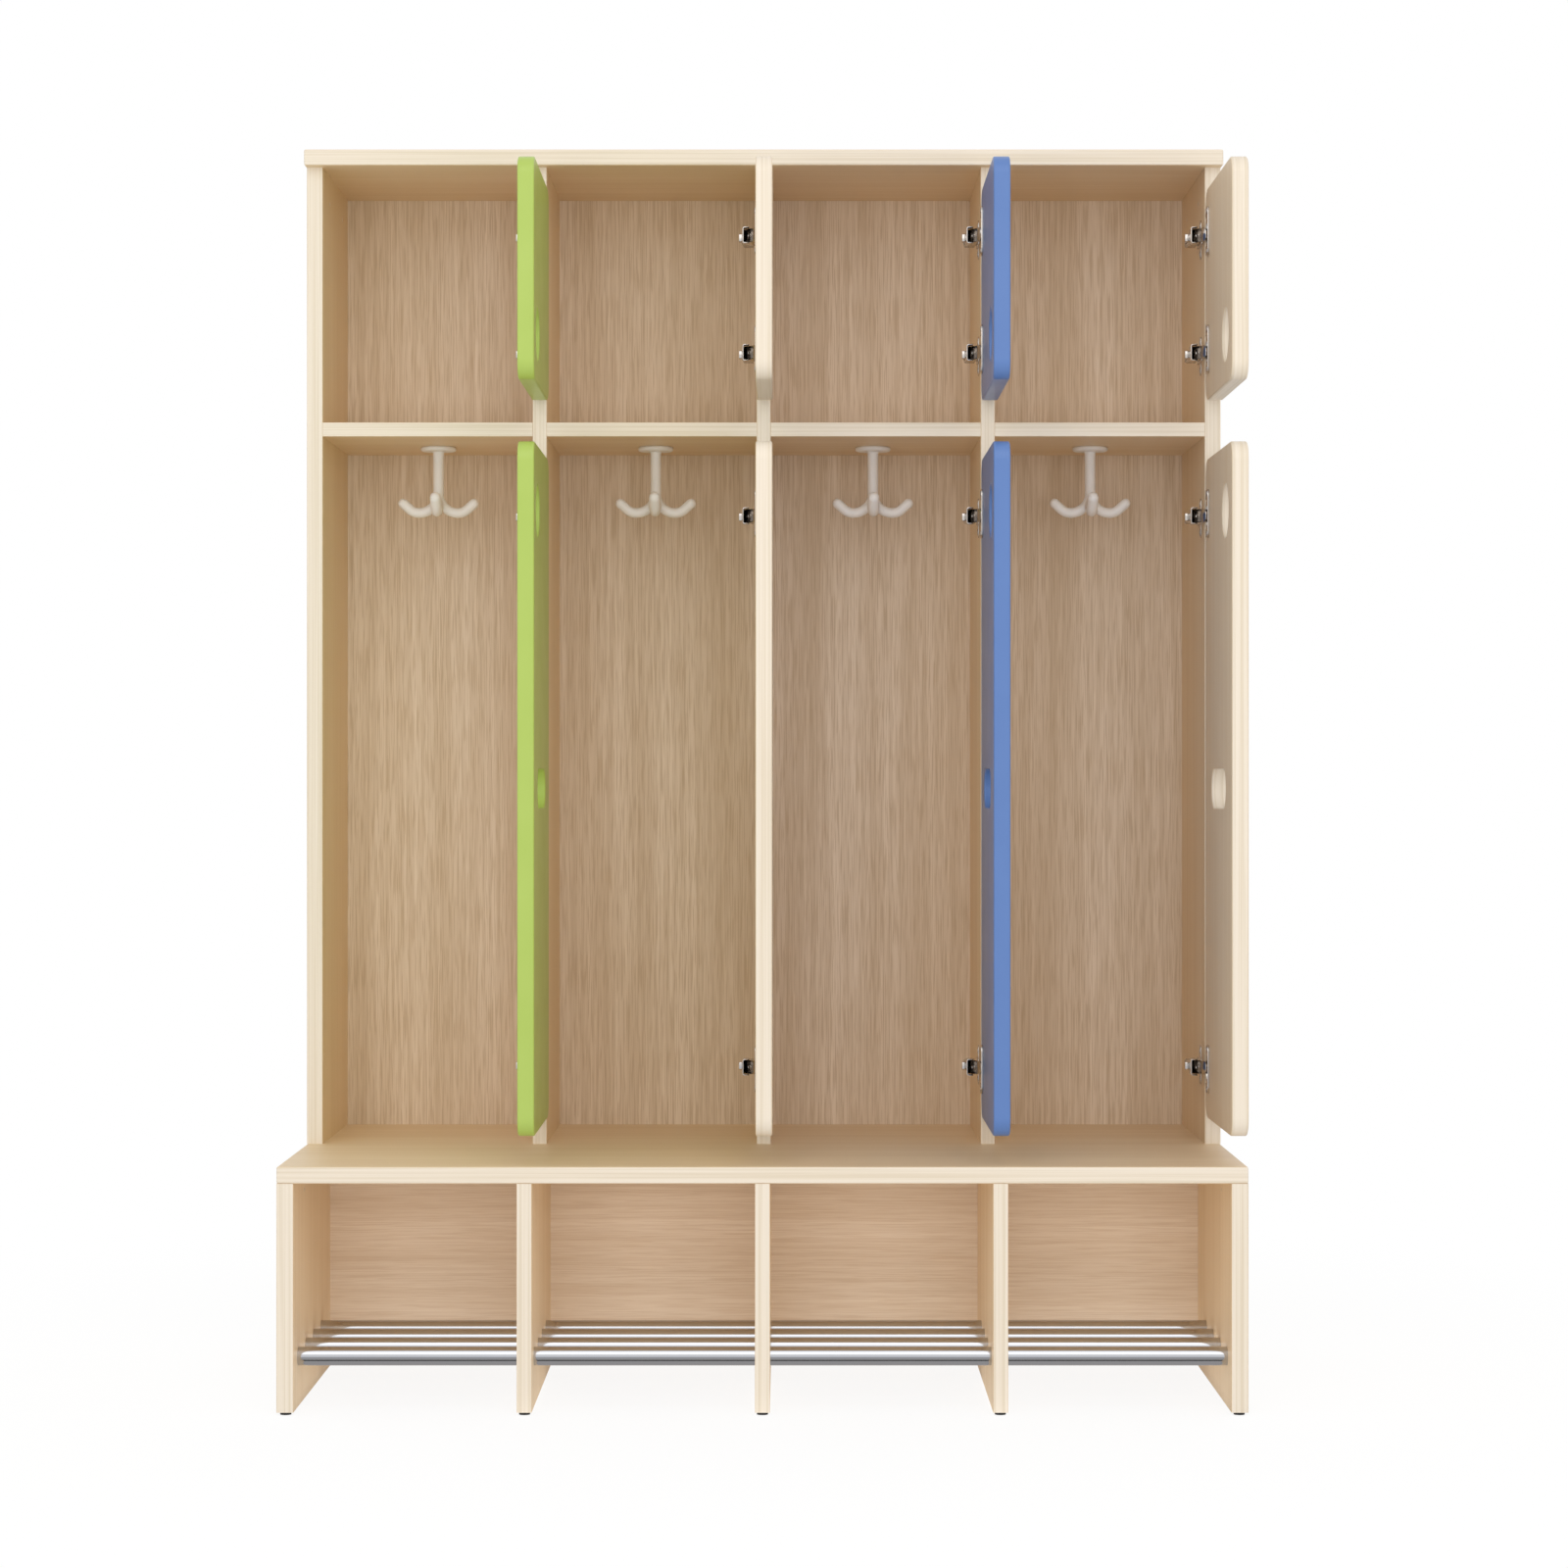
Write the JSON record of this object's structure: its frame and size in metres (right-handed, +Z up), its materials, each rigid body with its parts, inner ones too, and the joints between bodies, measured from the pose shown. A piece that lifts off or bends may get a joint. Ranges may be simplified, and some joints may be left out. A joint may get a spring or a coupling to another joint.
{
  "type": "changing room bench",
  "caption": "Nursery changing room bench: a seat board over a shoe space with steel rods, and on its rear half a wardrobe of narrow bays with coat hooks and hinged doors.",
  "frame": {"origin": "on the floor, under the middle of the bounding box; the wardrobe's front plane is y = 0", "axes": "+X right as seen from the front, +Y from the front to the back, +Z up"},
  "size_m": [1.039, 0.5, 1.39],
  "materials": {
    "board_wood": "light laminate, pale edge band",
    "back_wood": "light laminate with fine streaks",
    "wood_door": "light laminate, pale edge band",
    "green_door": "board with a matt green coating",
    "blue_door": "board with a matt blue coating",
    "dowel_wood": "plain beech",
    "rod_chrome": "polished",
    "hinge_nickel": "nickel plated",
    "screw_steel": "zinc plated",
    "hook_plastic": "moulded, cream",
    "glide_plastic": "moulded, black"
  },
  "bodies": {
    "root": {"top_board": "board_wood", "side_panel_left": "board_wood", "side_panel_right": "board_wood", "divider_1": "board_wood", "divider_2": "board_wood", "divider_3": "board_wood", "shelf_1": "board_wood", "shelf_2": "board_wood", "shelf_3": "board_wood", "shelf_4": "board_wood", "back_panel": "back_wood", "seat_board": "board_wood", "leg_1": "board_wood", "leg_2": "board_wood", "leg_3": "board_wood", "leg_4": "board_wood", "leg_5": "board_wood", "bench_back_panel_1": "back_wood", "bench_back_panel_2": "back_wood", "bench_back_panel_3": "back_wood", "bench_back_panel_4": "back_wood", "shoe_rod_1": "rod_chrome", "shoe_rod_2": "rod_chrome", "shoe_rod_3": "rod_chrome", "shoe_rod_4": "rod_chrome", "coat_hook_1": "hook_plastic", "coat_hook_2": "hook_plastic", "coat_hook_3": "hook_plastic", "coat_hook_4": "hook_plastic", "hook_studs": "screw_steel", "glides": "glide_plastic", "dowels": "dowel_wood", "hinge_arms": "hinge_nickel", "hinge_plates": "hinge_nickel", "hinge_screws": "screw_steel"},
    "upper_door_1": {"upper_door_1": "green_door", "upper_door_1_hinge_cups": "hinge_nickel", "upper_door_1_hinge_fixings": "screw_steel"},
    "upper_door_2": {"upper_door_2": "wood_door", "upper_door_2_hinge_cups": "hinge_nickel", "upper_door_2_hinge_fixings": "screw_steel"},
    "upper_door_3": {"upper_door_3": "blue_door", "upper_door_3_hinge_cups": "hinge_nickel", "upper_door_3_hinge_fixings": "screw_steel"},
    "upper_door_4": {"upper_door_4": "wood_door", "upper_door_4_hinge_cups": "hinge_nickel", "upper_door_4_hinge_fixings": "screw_steel"},
    "lower_door_1": {"lower_door_1": "green_door", "lower_door_1_hinge_cups": "hinge_nickel", "lower_door_1_hinge_fixings": "screw_steel"},
    "lower_door_2": {"lower_door_2": "wood_door", "lower_door_2_hinge_cups": "hinge_nickel", "lower_door_2_hinge_fixings": "screw_steel"},
    "lower_door_3": {"lower_door_3": "blue_door", "lower_door_3_hinge_cups": "hinge_nickel", "lower_door_3_hinge_fixings": "screw_steel"},
    "lower_door_4": {"lower_door_4": "wood_door", "lower_door_4_hinge_cups": "hinge_nickel", "lower_door_4_hinge_fixings": "screw_steel"}
  },
  "joints": [
    {"name": "upper_door_1_hinge", "type": "hinge", "parent": "root", "child": "upper_door_1", "pos_m": [-0.254, -0.0095, 1.2275], "axis": [0, 0, 1], "range_deg": [-90, 5]},
    {"name": "upper_door_2_hinge", "type": "hinge", "parent": "root", "child": "upper_door_2", "pos_m": [0, -0.0095, 1.2275], "axis": [0, 0, 1], "range_deg": [-90, 5]},
    {"name": "upper_door_3_hinge", "type": "hinge", "parent": "root", "child": "upper_door_3", "pos_m": [0.254, -0.0095, 1.2275], "axis": [0, 0, 1], "range_deg": [-90, 5]},
    {"name": "upper_door_4_hinge", "type": "hinge", "parent": "root", "child": "upper_door_4", "pos_m": [0.508, -0.0095, 1.2275], "axis": [0, 0, 1], "range_deg": [-90, 5]},
    {"name": "lower_door_1_hinge", "type": "hinge", "parent": "root", "child": "lower_door_1", "pos_m": [-0.254, -0.0095, 0.666], "axis": [0, 0, 1], "range_deg": [-90, 5]},
    {"name": "lower_door_2_hinge", "type": "hinge", "parent": "root", "child": "lower_door_2", "pos_m": [0, -0.0095, 0.666], "axis": [0, 0, 1], "range_deg": [-90, 5]},
    {"name": "lower_door_3_hinge", "type": "hinge", "parent": "root", "child": "lower_door_3", "pos_m": [0.254, -0.0095, 0.666], "axis": [0, 0, 1], "range_deg": [-90, 5]},
    {"name": "lower_door_4_hinge", "type": "hinge", "parent": "root", "child": "lower_door_4", "pos_m": [0.508, -0.0095, 0.666], "axis": [0, 0, 1], "range_deg": [-90, 5]}
  ]
}
